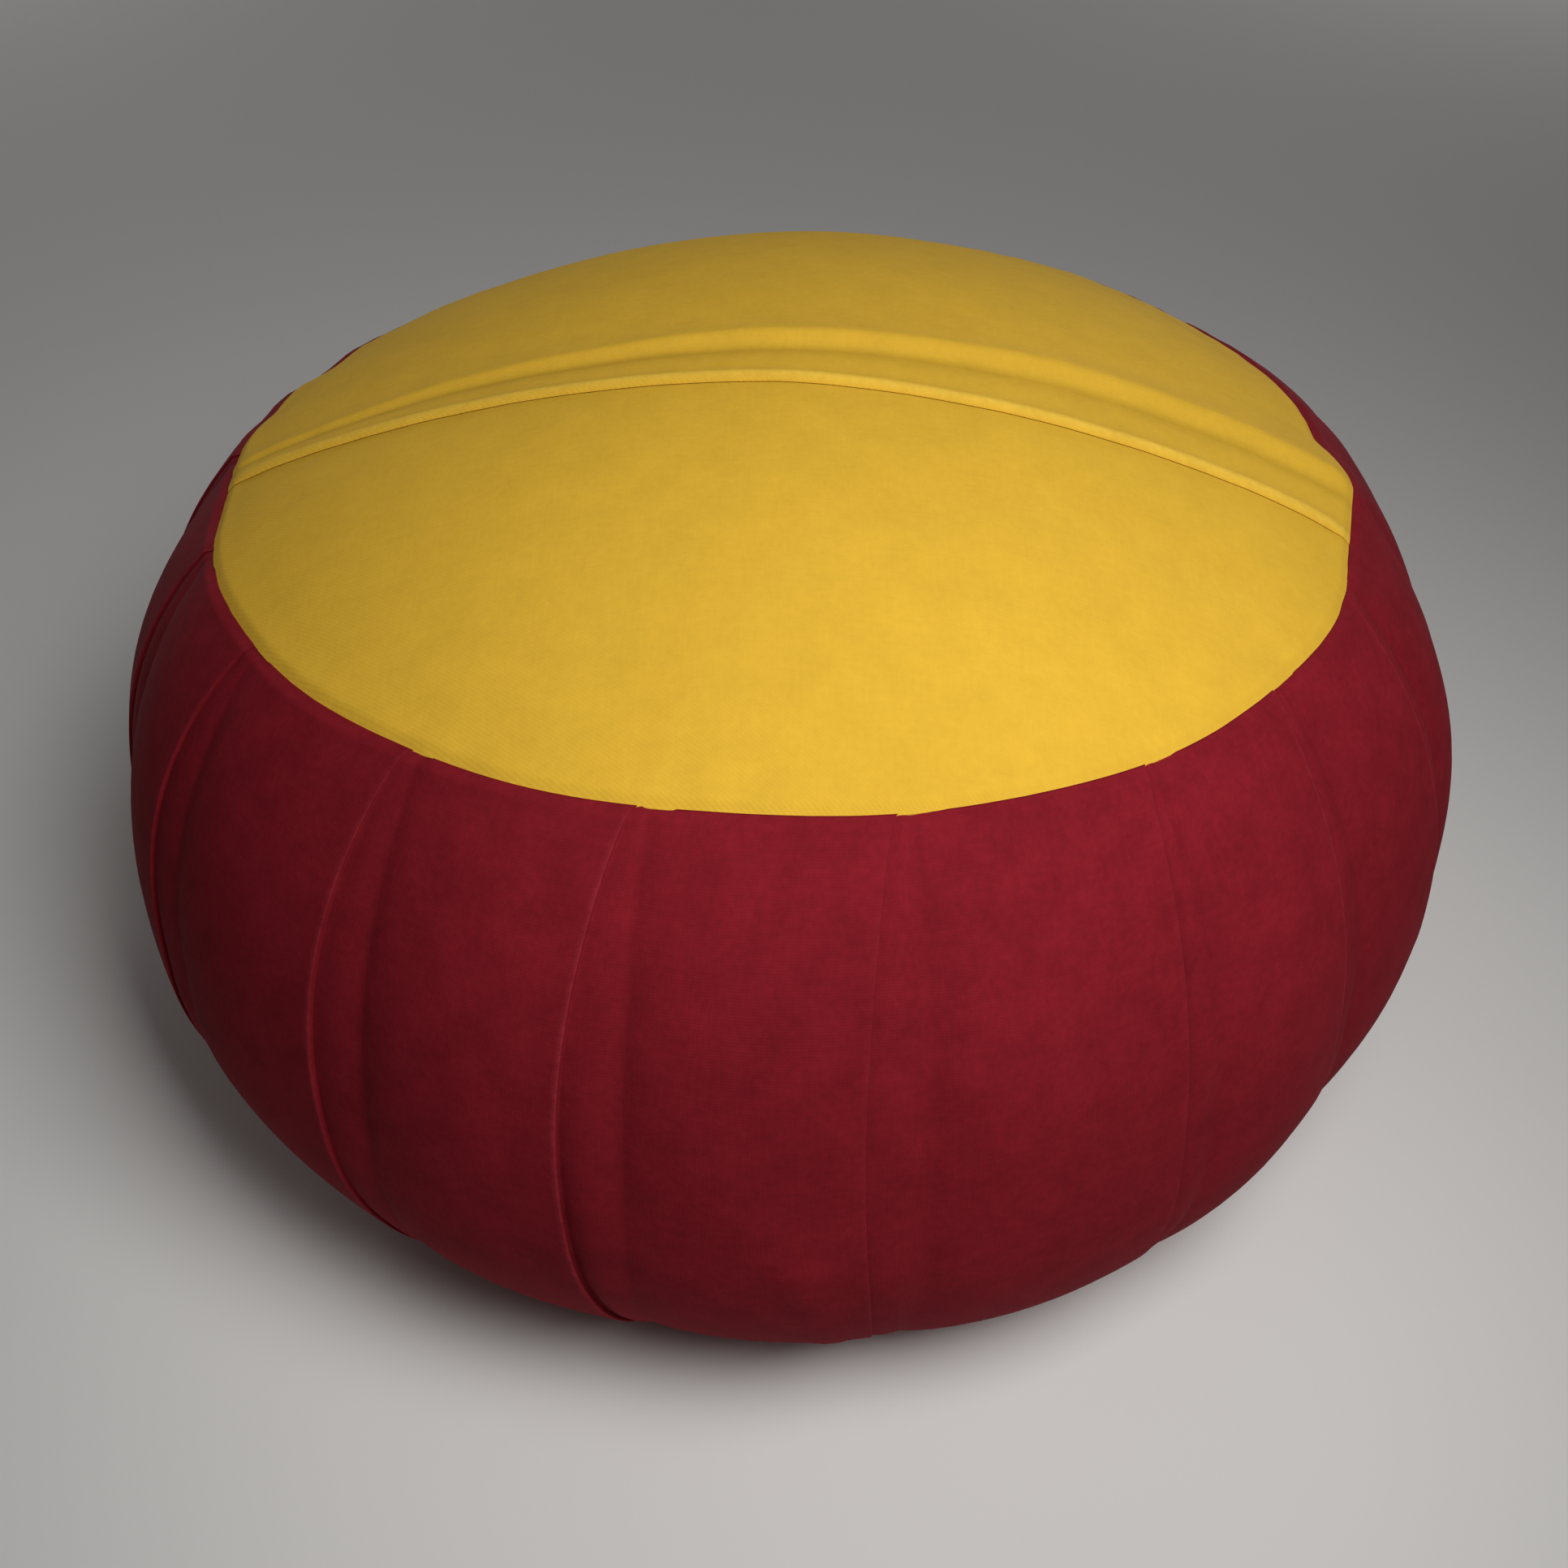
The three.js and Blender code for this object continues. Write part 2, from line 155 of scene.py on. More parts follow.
# The lap's section behind its folded edge: distance behind, and height over the plain crown, of its outer
# and of its inner face
LAP_OUTER = (
    (0.0, 0.1), (0.2, 0.45), (0.55, 0.9), (1.0, 1.3), (1.6, 1.65), (2.3, 1.8), (3.1, 1.7), (4.0, 1.45),
    (5.2, 1.25), (7.0, 1.2), (9.0, 1.25), (11.0, 1.3), (13.0, 1.2), (14.8, 0.95), (16.4, 0.65), (17.8, 0.55),
    (19.4, 0.8), (20.8, 1.5), (22.0, 2.3), (23.0, 2.75), (24.2, 2.65), (26.0, 2.05), (27.6, 1.6),
    (29.4, 1.18), (31.4, 0.82), (33.6, 0.52), (36.2, 0.26), (39.0, 0.08), (42.0, 0.0),
)
LAP_INNER = ((0.0, 0.06), (0.5, 0.3), (28.0, 0.3), (33.0, -2.0), (42.0, -2.0))
# Where the lap is sewn down, and the share of its height that the ridge behind it loses at the left end
LAP_STITCH_AT = 17.0
RIDGE_LOSS = 0.55
# The share of its height that the lap keeps at its ends, and how far it presses the front panel down
LAP_END = 0.3
LAP_PRESS = 0.2
# Where the lap's bead is rubbed and highlit, then the strength and width of its wear and painted highlight,
# of the painted shade along the sewn line and of the painted shadow in front of the lap
BEAD_AT = 2.0
BEAD_WEAR_AND_HIGHLIGHT = (0.35, 1.2)
STITCH_SHADE = (0.35, 1.6)
CAST_SHADE = (0.12, 3.5)
# How wide the lap is sewn along its length: across from left to right, and a share of its width
LAP_WIDTHS = ((-1.0, 0.4), (-0.8, 0.6), (-0.6, 0.78), (-0.1, 1.0), (0.46, 1.3), (0.8, 1.22), (1.0, 1.05))
# Rows of the front panel that run under the lap, by their distance behind its folded edge
UNDERLAP_ROWS = (25.0, 21.0, 16.6, 12.4, 8.4, 4.4, 1.8, 0.0, -0.8, -1.8, -3.2)

# Thickness of the panels, the room left in a seam, and the step from the band's edge down to a panel
CLOTH = 2.0
SEAM_GAP = 0.4
LIP = 0.2
# The least room between the lap's outer and inner face, at its thin folded edge
THINNEST = 0.12
# How far from a seam its puckers fade away, on the band and on the top
BAND_PUCKERS = 7.0
TOP_PUCKERS = 8.0

# How finely the pieces are divided, and the rings of their hidden faces as radii or shares of the rim
SIDE_ROWS = 84
SEAM_CROWDING = 0.13
PANEL_COLUMNS = 150
FRONT_ROWS = 70
BACK_ROWS = 50
BASE_COLUMNS = 180
UNDER_RADII = (0.0, 60.0, 112.0, 122.0, 130.0, 136.0)
CROWN_SHARES = (1.0, 0.94, 0.82, 0.64, 0.44, 0.22, 0.0)
BASE_RADII = (0, 20, 40, 60, 80, 100, 110, 116, 120, 124, 128, 132, 135, 137, 138.4)
# The ring and the line of the body that its cloth is measured along
MEASURED_RING = 48
MEASURED_LINE = 9

# Lamps: azimuth, height over the horizon and spread in degrees, distance and size in metres, and the place
# that they are aimed at
KEY_LAMP = (30, 54, 80, 0.6, 0.32, (0.02, -0.09, 0.14))
BACK_LAMPS = ((155, 6, 120, 2.0, 0.7, (0.0, 0.0, 0.06)), (-146, 6, 120, 2.0, 0.7, (0.0, 0.0, 0.06)))
# The plain floor's width in metres, and the colour of the pale surroundings
FLOOR_SIZE = 8
SKY_COLOUR = (1, 0.985, 0.96, 1)

# Filling: how far the plain skin starts inside the finished one, its columns and its rows over base, side
# and crown, the remeshed face in metres, and the frames that it is filled for
SLACK = 4.0
SKIN_COLUMNS = 120
SKIN_ROWS = (14, 36, 24)
SKIN_FACE = 0.005
FILLING_FRAMES = 20
FILLING_CLOTH = {
    "quality": 5, "mass": 0.01, "air_damping": 0, "tension_stiffness": 15, "compression_stiffness": 12,
    "shear_stiffness": 6, "bending_stiffness": 0.1, "uniform_pressure_force": 450, "pin_stiffness": 25,
}
# How firmly the skin is held at a pleat and along the lap, where 1 is at the seams
PLEAT_HOLD = 0.35
LAP_HOLD = 0.3
# The most that a point moves, the rings whose mean is taken off, and the points that a push is averaged
# over, with their reach
FILLING_CAP = 9.0
EVENED_RINGS = 30
NEAR_POINTS = 14
NEAR_REACH = 6.0

# The filled skin is worked out once and kept for the other pieces
PLUMPED = {}

# Uneven tone of the cotton: how often it changes in a metre, its detail and roughness, and its strength
TONES = ((520.0, 3.0, 0.6, 0.55), (105.0, 3.0, 0.6, 0.75), (24.0, 2.0, 0.5, 0.45))
# The middle span of a noise, the turn of the twill in degrees, and how wide and long a thick place in a
# thread is, in pitches of the weave
NOISE_SPAN = (0.3, 0.7)
TWILL_TURN = -52
SLUB_SIZE = (1.1, 14)


class CushionSizes(bpy.types.PropertyGroup):
    """Sizes of the filled cushion"""

    rim_radius: FloatProperty(
        name="Rim radius", description="Radius of the seam round the top", default=0.145, unit="LENGTH"
    )
    rim_height: FloatProperty(
        name="Rim height", description="Height of the seam round the top", default=0.171, unit="LENGTH"
    )
    crown_rise: FloatProperty(
        name="Crown rise", description="Rise of the crown over the rim", default=0.037, unit="LENGTH"
    )
    widest_radius: FloatProperty(
        name="Widest radius", description="Radius of the side where it is widest", default=0.181,
        unit="LENGTH",
    )
    widest_height: FloatProperty(
        name="Widest height", description="Height of the widest line", default=0.078, unit="LENGTH"
    )
    rest_radius: FloatProperty(
        name="Rest radius", description="Radius of the flat on the floor", default=0.118, unit="LENGTH"
    )
    base_seam_radius: FloatProperty(
        name="Base seam", description="Radius of the seam round the base", default=0.140, unit="LENGTH"
    )
    puff: FloatProperty(
        name="Puff", description="Bulge of the cloth between two pleats", default=0.0015, unit="LENGTH"
    )
    crease: FloatProperty(
        name="Crease", description="Depth of a pleat's inner crease", default=0.0007, unit="LENGTH"
    )
    fold_gap: FloatProperty(
        name="Fold gap", description="Depth of the gap under a folded edge", default=0.0011, unit="LENGTH"
    )
    fold_reach: FloatProperty(
        name="Fold reach", description="How far the gap reaches under a folded edge", default=0.0012,
        unit="LENGTH",
    )
    seam_turn: FloatProperty(
        name="Seam turn", description="Width over which cloth turns into a seam", default=0.003, unit="LENGTH"
    )
    seam_dip: FloatProperty(
        name="Seam dip", description="Depth to which cloth turns into a seam", default=0.0012, unit="LENGTH"
    )
    pucker: FloatProperty(
        name="Pucker", description="Height of the puckers along a seam", default=0.00035, unit="LENGTH"
    )
    lap_left: FloatProperty(
        name="Lap left", description="Lap's folded edge at the left, back from the middle",
        default=-0.007, unit="LENGTH",
    )
    lap_right: FloatProperty(
        name="Lap right", description="Lap's folded edge at the right, back from the middle",
        default=-0.027, unit="LENGTH",
    )
    lap_bow: FloatProperty(
        name="Lap bow", description="Bow of the lap's edge to the front", default=0.007, unit="LENGTH"
    )


class CottonLooks(bpy.types.PropertyGroup):
    """Colours and weaves of the cotton"""

    burgundy: FloatVectorProperty(
        name="Burgundy", description="Side band and base", default=(0.187, 0.0090, 0.0155), subtype="COLOR"
    )
    # Colour of the band's wear and painted highlight on its folded edges
    burgundy_worn_highlight: FloatVectorProperty(
        name="Burgundy worn", description="Band where folds rub", default=(0.30, 0.028, 0.042),
        subtype="COLOR",
    )
    yellow: FloatVectorProperty(
        name="Yellow", description="Top panels", default=(0.665, 0.394, 0.035), subtype="COLOR"
    )
    # Colour of the top's wear and painted highlight along the lap's bead
    yellow_worn_highlight: FloatVectorProperty(
        name="Yellow worn", description="Top where the lap rubs", default=(0.88, 0.60, 0.10), subtype="COLOR"
    )
    floor: FloatVectorProperty(
        name="Floor", description="Pale floor", default=(0.74, 0.73, 0.71), subtype="COLOR"
    )
    plain_pitch: FloatProperty(
        name="Plain pitch", description="Thread spacing of the burgundy cotton", default=0.0006, unit="LENGTH"
    )
    twill_pitch: FloatProperty(
        name="Twill pitch", description="Rib spacing of the yellow twill", default=0.0008, unit="LENGTH"
    )


class StagePlan(bpy.types.PropertyGroup):
    """Camera and lights"""

    target_height: FloatProperty(
        name="Target height", description="Height that the camera looks at", default=0.0681, unit="LENGTH"
    )
    distance: FloatProperty(
        name="Distance", description="Camera to target", default=0.58, unit="LENGTH"
    )
    elevation: FloatProperty(
        name="Elevation", description="Camera over the horizon", default=math.radians(38.19), unit="ROTATION"
    )
    roll: FloatProperty(
        name="Roll", description="Camera's roll", default=math.radians(0.556), unit="ROTATION"
    )
    lens: FloatProperty(name="Lens", description="Focal length in millimetres", default=45.93)
    key: FloatProperty(name="Key light", description="Key light's power in watts", default=0.92)
    fill: FloatProperty(name="Back light", description="Each back light's power in watts", default=2.8)
    sky: FloatProperty(name="Sky", description="Strength of the plain pale surroundings", default=0.075)


# Working values


def sizes():
    """The cushion's lengths in millimetres."""
    group = bpy.context.scene.cushion_sizes
    return {key: getattr(group, key) * 1000 for key in CushionSizes.__annotations__}


def looks():
    return bpy.context.scene.cotton_looks


def uneven(value, i):
    mean, spread, pace = value
    return mean + spread * math.sin(pace * i)


def all_pleats():
    """Crease, bow, lift, gaps and wear of each pleat, from the left of the front round the right."""
    last = FRONT_PLEATS[-1][0]
    step = (360 + FRONT_PLEATS[0][0] - last) / (BACK_PLEATS + 1)
    back = [
        (last + step * (i + 1), *(uneven(value, i) for value in BACK_VALUES)) for i in range(BACK_PLEATS)
    ]
    return [*FRONT_PLEATS, *back]


def smooth(low, high, value):
    """0 below low, 1 above high, and a soft step between."""
    t = np.clip((value - low) / (high - low), 0, 1)
    return t * t * (3 - 2 * t)


# Shape of the plain filled cushion


def waves(rows, azimuth):
    return sum(size * np.cos(count * np.radians(azimuth - at)) for count, size, at in rows)


def turn_from(at, azimuth):
    """Degrees from one azimuth round to others, between -180 and 180."""
    return (azimuth - at + 180) % 360 - 180


def lobes(rows, azimuth, way=0):
    return sum(push[way] * np.exp(-((turn_from(at, azimuth) / width) ** 2)) for at, width, *push in rows)


def rim_radius(c, azimuth):
    return c["rim_radius"] + waves(RIM_WAVES, azimuth) + lobes(RIM_LOBES, azimuth)


def rim_height(c, azimuth):
    return c["rim_height"] + waves(RIM_HEIGHT_WAVES, azimuth) + lobes(RIM_LOBES, azimuth, 1)


def crown_height(c, azimuth, share):
    """Height of the plain crown, whose rim is at share 1."""
    rim = (rim_height(c, azimuth) - c["rim_height"]) * share**2
    front = FRONT_FULLNESS * np.cos(np.radians(azimuth)) * share * (1 - share**2)
    return c["rim_height"] + rim + c["crown_rise"] * (1 - share**CROWN_CURVE) + front


def rest_radius(c, azimuth):
    return c["rest_radius"] + waves(REST_WAVES, azimuth)


def widest_radius(c, azimuth):
    return c["widest_radius"] + waves(WIDEST_WAVES, azimuth) + lobes(WIDEST_LOBES, azimuth)


def side_section(c, azimuth, place):
    """Radius and height of the side: place 0 is the edge of the flat, 1 the widest line, 2 the rim."""
    rest, widest = rest_radius(c, azimuth), widest_radius(c, azimuth)
    turn = np.clip(place, 0, 1) * math.pi / 2
    low_r = rest + (widest - rest) * np.sin(turn) ** (2 / LOWER_CURVE)
    low_r = low_r + lobes(LOWER_LOBES, azimuth) * np.sin(2 * turn) ** 2
    low_z = c["widest_height"] * (1 - np.clip(np.cos(turn), 0, 1) ** (2 / LOWER_CURVE))
    up = np.clip(place - 1, 0, 1)
    high_r = widest + (rim_radius(c, azimuth) - widest) * up**UPPER_CURVE
    high_r = high_r + lobes(UPPER_LOBES, azimuth) * np.sin(np.pi * up**2)
    high_z = c["widest_height"] + (rim_height(c, azimuth) - c["widest_height"]) * up
    return np.where(place <= 1, low_r, high_r), np.where(place <= 1, low_z, high_z)


def place_of_radius(c, azimuth, radius):
    """The place on the lower side that has a radius."""
    rest, widest = rest_radius(c, azimuth), widest_radius(c, azimuth)
    out = np.clip((radius - rest) / (widest - rest), 0, 1)
    return np.arcsin(out ** (LOWER_CURVE / 2)) * 2 / math.pi


def underside_height(c, azimuth, radius):
    return side_section(c, azimuth, place_of_radius(c, azimuth, radius))[1]


def polar(azimuth, radius, z):
    turn = np.radians(azimuth)
    radius, z = np.broadcast_arrays(radius, z)
    return np.stack([radius * np.sin(turn), -radius * np.cos(turn), z + 0 * turn], -1)


def lap_edge(c, x):
    """Where the lap's folded edge crosses the crown."""
    across = x / c["rim_radius"]
    line = c["lap_left"] + (c["lap_right"] - c["lap_left"]) * (across + 1) / 2
    return line - c["lap_bow"] * (1 - across**2)


def lap_line(c, x, behind):
    """A line along the lap, behind its folded edge, which runs wider or narrower with the lap."""
    across, share = np.array(LAP_WIDTHS).T
    wider = np.interp(x / c["rim_radius"], across, share) - 1
    return lap_edge(c, x) + behind * (1 + wider * smooth(1.5, 9, behind))


# Cloth and meshes


def alone(piece):
    """Selects one piece and makes it active."""
    bpy.ops.object.select_all(action="DESELECT")
    piece.select_set(True)
    bpy.context.view_layer.objects.active = piece


def cloth_strip(name, grid):
    """A flat strip of cloth with as many rows and columns of points as a grid."""
    rows, columns = grid.shape[0] - 1, grid.shape[1] - 1
    bpy.ops.object.select_all(action="DESELECT")
    bpy.ops.mesh.primitive_grid_add(x_subdivisions=columns, y_subdivisions=rows, size=1)
    piece = bpy.context.active_object
    piece.name = piece.data.name = name
    return piece


def lay_points(piece, points):
    """Moves a piece's points to places in millimetres."""
    metres = (points.reshape(-1, 3) + MIDDLE) / 1000
    piece.data.vertices.foreach_set("co", metres.astype(np.float32).ravel())
    piece.data.update()


def points_of(mesh):
    """A mesh's points in millimetres from the cushion's middle."""
    flat = np.zeros(len(mesh.vertices) * 3, np.float32)
    mesh.vertices.foreach_get("co", flat)
    return flat.reshape(-1, 3).astype(float) * 1000 - MIDDLE


def lay_weave(piece, u, v):
    """Gives each point its place on the flat cloth, in metres, as the piece's UV map."""
    loops = np.zeros(len(piece.data.loops), np.int32)
    piece.data.loops.foreach_get("vertex_index", loops)
    flat = np.stack([u.ravel()[loops], v.ravel()[loops]], -1) / 1000
    piece.data.uv_layers[0].data.foreach_set("uv", flat.astype(np.float32).ravel())
    piece.data.uv_layers[0].name = "cloth"


def mark(piece, name, values):
    """Stores a number for each point, such as how much wear and painted highlight the cloth has there."""
    attribute = piece.data.attributes.new(name, "FLOAT", "POINT")
    attribute.data.foreach_set("value", values.astype(np.float32).ravel())


def sew_closed(piece):
    """Merges points that meet, turns every face outwards and shades the piece smooth."""
    alone(piece)
    bpy.ops.object.mode_set(mode="EDIT")
    bpy.ops.mesh.select_all(action="SELECT")
    bpy.ops.mesh.remove_doubles(threshold=1e-6)
    bpy.ops.mesh.normals_make_consistent(inside=False)
    bpy.ops.object.mode_set(mode="OBJECT")
    bpy.ops.object.shade_smooth()


def search_tree(points):
    tree = kdtree.KDTree(len(points))
    for i, point in enumerate(points):
        tree.insert(point, i)
    tree.balance()
    return tree


def ripple(azimuth, seed):
    """An irregular wave round a seam, from -1 to 1: three waves whose counts don't repeat together."""
    turn = np.radians(azimuth)
    a = np.sin(53 * turn + 1.3 * seed) * np.cos(7 * turn + seed)
    b = np.sin(87 * turn + 2.1 * seed) * np.cos(11 * turn - seed)
    c = np.sin(31 * turn - 0.7 * seed)
    return (a + b + 0.6 * c) / 2.6


# Filling the cushion


def skin_points(c):
    """The plain closed skin as rings from the middle of the base to the middle of the crown. Its slack
    draws it in between its seams."""
    azimuth = np.linspace(0, 360, SKIN_COLUMNS + 1)[None, :]
    base_rows, side_rows, crown_rows = SKIN_ROWS
    base = np.linspace(0, 1, base_rows + 1)[:-1, None] * rest_radius(c, azimuth)
    place = np.linspace(0, 2, side_rows + 1)[:-1, None]
    radius, z = side_section(c, azimuth, place)
    drawn = SLACK * np.sin(np.pi * np.clip(z / c["rim_height"], 0, 1)) ** 0.7
    side = polar(azimuth, radius - drawn, z)
    share = np.linspace(1, 0, crown_rows + 1)[:, None]
    height = crown_height(c, azimuth, share) - SLACK * (1 - share**4)
    crown = polar(azimuth, rim_radius(c, azimuth) * share, height)
    return np.concatenate([polar(azimuth, base, 0 * base), side, crown])


def sewn_weights(c, points):
    """How firmly each point of the skin is held: 1 at the seams and on the floor, less at the pleats'
    creases and along the lap."""
    azimuth = np.degrees(np.arctan2(points[:, 0], -points[:, 1]))
    radius = np.hypot(points[:, 0], points[:, 1])
    rim = np.hypot(radius - rim_radius(c, azimuth), points[:, 2] - rim_height(c, azimuth))
    held = 1 - smooth(2.0, 9.0, rim)
    on_floor = 1 - smooth(0.5, 7.0, points[:, 2])
    held = np.maximum(held, on_floor)
    on_side = smooth(-4.0, 4.0, rim_height(c, azimuth) - points[:, 2])
    for at, *_ in all_pleats():
        away = np.abs(np.radians(turn_from(at, azimuth))) * radius
        held = np.maximum(held, PLEAT_HOLD * on_side * (1 - smooth(1.0, 5.0, away)))
    lap = np.abs(points[:, 1] - lap_line(c, points[:, 0], LAP_STITCH_AT))
    on_crown = smooth(-2.0, 2.0, points[:, 2] - rim_height(c, azimuth)) * (radius < c["rim_radius"])
    return np.maximum(held, LAP_HOLD * on_crown * (1 - smooth(2.0, 8.0, lap)))


def evened(c, start, moved):
    """Takes the mean swelling of each ring off the moves, which leaves how the seams, pleats and lap shape
    the filled skin."""
    azimuth = np.arctan2(start[:, 0], -start[:, 1])
    radius = np.hypot(start[:, 0], start[:, 1])
    ring = np.arctan2(start[:, 2] - c["widest_height"], radius)
    out = moved[:, 0] * np.sin(azimuth) - moved[:, 1] * np.cos(azimuth)
    edges = np.linspace(-math.pi / 2, math.pi / 2, EVENED_RINGS + 1)
    middles = (edges[1:] + edges[:-1]) / 2
    count = np.maximum(np.histogram(ring, edges)[0], 1)
    mean_out = np.histogram(ring, edges, weights=out)[0] / count
    mean_up = np.histogram(ring, edges, weights=moved[:, 2])[0] / count
    out = out - np.interp(ring, middles, mean_out)
    up = moved[:, 2] - np.interp(ring, middles, mean_up)
    return np.stack([out * np.sin(azimuth), -out * np.cos(azimuth), up], -1)


def plump(c):
    """Fills the plain skin under pressure with its seams held, and keeps how each part of it moved away
    from the plain shape."""
    if PLUMPED:
        return PLUMPED
    plain = skin_points(c)
    skin = cloth_strip("skin_to_fill", plain)
    lay_points(skin, plain)
    sew_closed(skin)
    skin.data.remesh_voxel_size = SKIN_FACE
    bpy.ops.object.voxel_remesh()
    start = points_of(skin.data)
    group = skin.vertex_groups.new(name="sewn")
    for i, weight in enumerate(sewn_weights(c, start)):
        group.add([i], float(weight), "REPLACE")
    cloth = skin.modifiers.new("filling", "CLOTH")
    for name, value in FILLING_CLOTH.items():
        setattr(cloth.settings, name, value)
    cloth.settings.use_pressure = True
    cloth.settings.vertex_group_mass = "sewn"
    cloth.settings.effector_weights.gravity = 0
    scene = bpy.context.scene
    for number in range(1, FILLING_FRAMES + 1):
        scene.frame_set(number)
    alone(skin)
    bpy.ops.object.modifier_apply(modifier=cloth.name)
    scene.frame_set(1)
    moved = evened(c, start, points_of(skin.data) - start)
    length = np.linalg.norm(moved, axis=1)
    moved *= (np.minimum(length, FILLING_CAP) / np.maximum(length, 1e-9))[:, None]
    bpy.data.objects.remove(skin)
    PLUMPED.update(tree=search_tree(start), moved=moved)
    return PLUMPED


def filled(c, points):
    """How the filling pushes each of some points, as moves in millimetres."""
    field = plump(c)
    flat = points.reshape(-1, 3)
    push = np.zeros_like(flat)
    for i, point in enumerate(flat):
        found = field["tree"].find_n(point, NEAR_POINTS)
        weights = np.exp(-np.array([(d / NEAR_REACH) ** 2 for _, _, d in found]))
        rows = field["moved"][[index for _, index, _ in found]]
        push[i] = (rows * weights[:, None]).sum(0) / weights.sum()
    return push.reshape(points.shape)


# The pleated band


def fold_lines():
    return dict(zip(FOLD_COLUMNS, np.array(FOLD_LINES).T))


def pleated_columns(c, share, radius):
    """Azimuth of each line of points round the band, how far it stands out, how much wear and painted
    highlight and how much painted shade the cloth has there. Rows are the band's rings, at a share of its
    height and a radius."""
    opened = np.sin(np.pi * np.clip(share, 0, 1) ** OPEN_LEAN) ** OPEN_CURVE
    depth = CLOSED_DEPTH + (1 - CLOSED_DEPTH) * opened
    lower = 1 - smooth(0.5, 0.8, share)
    line = fold_lines()
    pleats = all_pleats()
    azimuths, outs, wear_and_highlight, shade = [], [], [], []
    for i, pleat in enumerate(pleats):
        at = pleat[0]
        turn, bow, lift, gap_top, gap_low, worn_and_highlit = pleats[(i + 1) % len(pleats)]
        gap = gap_top + (gap_low - gap_top) * lower
        bow = CLOSED_BOW + (bow - CLOSED_BOW) * opened
        width = (turn - at) % 360 - bow
        degrees = np.degrees(1 / radius)
        nudge = (line["edge"] - c["fold_reach"] * gap * line["under"]) * (0.4 + 0.6 * opened) * degrees
        azimuths.append(at + line["main"] * width + line["strip"] * bow + nudge)
        hollow = line["gap"] * gap * c["fold_gap"]
        swell = line["lift"] * lift + line["puff"] * c["puff"]
        outs.append(depth * (swell - line["crease"] * c["crease"] - hollow))
        # Wear and painted highlight: a lighter strip along the top of each folded edge
        wear_and_highlight.append(np.exp(-(((line["lift"] - HIGHLIT_RUB_AT) / HIGHLIT_RUB_WIDTH) ** 2)) * opened**0.3 * worn_and_highlit)
        # Painted shade in the gap under each folded edge and in the inner crease
        shade.append((line["gap"] * gap + 0.15 * line["crease"]) * opened)
    closing = np.full_like(azimuths[0][:, :1], pleats[0][0] + 360)
    others = [np.concatenate([*parts, parts[0][:, :1]], 1) for parts in (outs, wear_and_highlight, shade)]
    return np.concatenate([*azimuths, closing], 1), *others


def soft_creases(azimuth, z, radius):
    """Low soft ridges that the filling pushes into the side."""
    total = 0.0
    for (a0, z0), (a1, z1), width, size in SOFT_CREASES:
        around = np.radians(turn_from(a0, azimuth)) * radius
        end = np.radians(a1 - a0) * radius
        up = z - z0
        length = end**2 + (z1 - z0) ** 2
        along = np.clip((around * end + up * (z1 - z0)) / length, 0, 1)
        away = np.hypot(around - along * end, up - along * (z1 - z0))
        total = total + size * np.exp(-((away / width) ** 2))
    return total


def side_places(c, azimuth):
    """Places up the side from the base seam to the rim, closest together next to the seams."""
    low = place_of_radius(c, azimuth, c["base_seam_radius"])
    t = np.linspace(0, 1, SIDE_ROWS + 1)[:, None]
    t = t - SEAM_CROWDING * np.sin(2 * np.pi * t)
    return low + (2 - low) * t


def pleated_side(c):
    """Points of the band, rows up and pleat lines round, with the lines' azimuths, their wear and painted
    highlight, and their painted shade.
    """
    rough = np.linspace(0, 360, 5)[None, :-1]
    radius, z = side_section(c, rough, side_places(c, rough))
    share = (z / rim_height(c, rough)).mean(1)[:, None]
    azimuth, out, wear_and_highlight, shade = pleated_columns(c, share, radius.mean(1)[:, None])
    place = side_places(c, azimuth)
    radius, z = side_section(c, azimuth, place)
    near_r, near_z = side_section(c, azimuth, np.clip(place - 0.01, 0, 2))
    far_r, far_z = side_section(c, azimuth, np.clip(place + 0.01, 0, 2))
    along = np.hypot(far_r - near_r, far_z - near_z)
    out_r, out_z = (far_z - near_z) / along, (near_r - far_r) / along
    plain = polar(azimuth, radius, z)
    under_rim = np.hypot(radius - rim_radius(c, azimuth), z - rim_height(c, azimuth))
    over_base = np.hypot(
        radius - c["base_seam_radius"], z - underside_height(c, azimuth, c["base_seam_radius"])
    )
    to_seam = np.minimum(under_rim, over_base)
    out = out + soft_creases(azimuth, z, radius)
    out = out + c["pucker"] * ripple(azimuth, 1.0) * np.exp(-under_rim / BAND_PUCKERS)
    out = out + c["pucker"] * ripple(azimuth, 4.0) * np.exp(-over_base / BAND_PUCKERS)
    out = out - c["seam_dip"] * (1 - smooth(0, c["seam_turn"], to_seam))
    fade = smooth(0, 12, over_base)
    push = filled(c, plain) * np.minimum(fade, smooth(0, 6, under_rim))[..., None]
    lifted = polar(azimuth, radius + out * out_r, z + out * out_z)
    return lifted + push, azimuth, wear_and_highlight, shade


def body_points(c):
    """The filled body's points as rings from the middle of its recessed underside, up the pleated side,
    to the middle of its recessed crown."""
    side, azimuth, wear_and_highlight, shade = pleated_side(c)
    sunk = CLOTH + SEAM_GAP
    low, high = np.maximum.accumulate(azimuth[:1], 1), np.maximum.accumulate(azimuth[-1:], 1)
    under = np.array([*UNDER_RADII, c["base_seam_radius"] - LIP])[:, None]
    bottom = polar(low, under + 0 * low, underside_height(c, low, under) + sunk)
    share = np.array(CROWN_SHARES)[:, None]
    recess = np.maximum(rim_radius(c, high) * share - LIP - 0.3, 0)
    top = polar(high, recess, crown_height(c, high, share) - sunk)
    top = top + filled(c, top + [0, 0, sunk]) * (1 - share[..., None] ** 3)
    rings = np.concatenate([bottom, side, top])
    hidden = ((len(bottom), len(top)), (0, 0))
    return rings, np.pad(wear_and_highlight, hidden), np.pad(shade, hidden)


